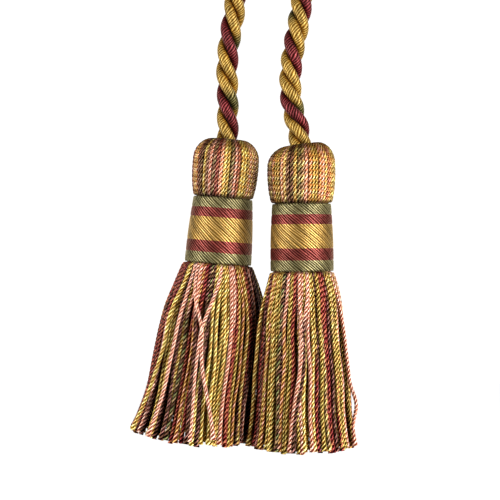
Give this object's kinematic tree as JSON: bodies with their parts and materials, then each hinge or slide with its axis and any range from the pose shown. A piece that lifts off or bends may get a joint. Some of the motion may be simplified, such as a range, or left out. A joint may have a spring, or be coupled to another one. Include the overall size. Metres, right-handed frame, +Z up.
{
  "type": "chair tie tassel",
  "caption": "Chair tie of twisted cord with a yarn tassel on either end, each with a ribbed round head and a striped woven neck band, hung by the bight of the cord.",
  "frame": {"origin": "under the crown of the cord's loop, where a peg or knob holds the tie up", "axes": "+Z up, +X to the right as seen from the front, +Y to the back"},
  "size_m": [0.0752, 0.0516, 0.19],
  "materials": {
    "twisted_cord": "satin rayon plies in gold, olive gold and burgundy",
    "tassel_yarn": "satin twisted yarns in gold, olive, salmon, brick and plum",
    "woven_band": "satin twill braid striped in olive, burgundy and gold"
  },
  "bodies": {
    "root": {"cord": "twisted_cord", "tassel_left": "tassel_yarn", "tassel_right": "tassel_yarn", "band_left": "woven_band", "band_right": "woven_band"}
  },
  "joints": []
}
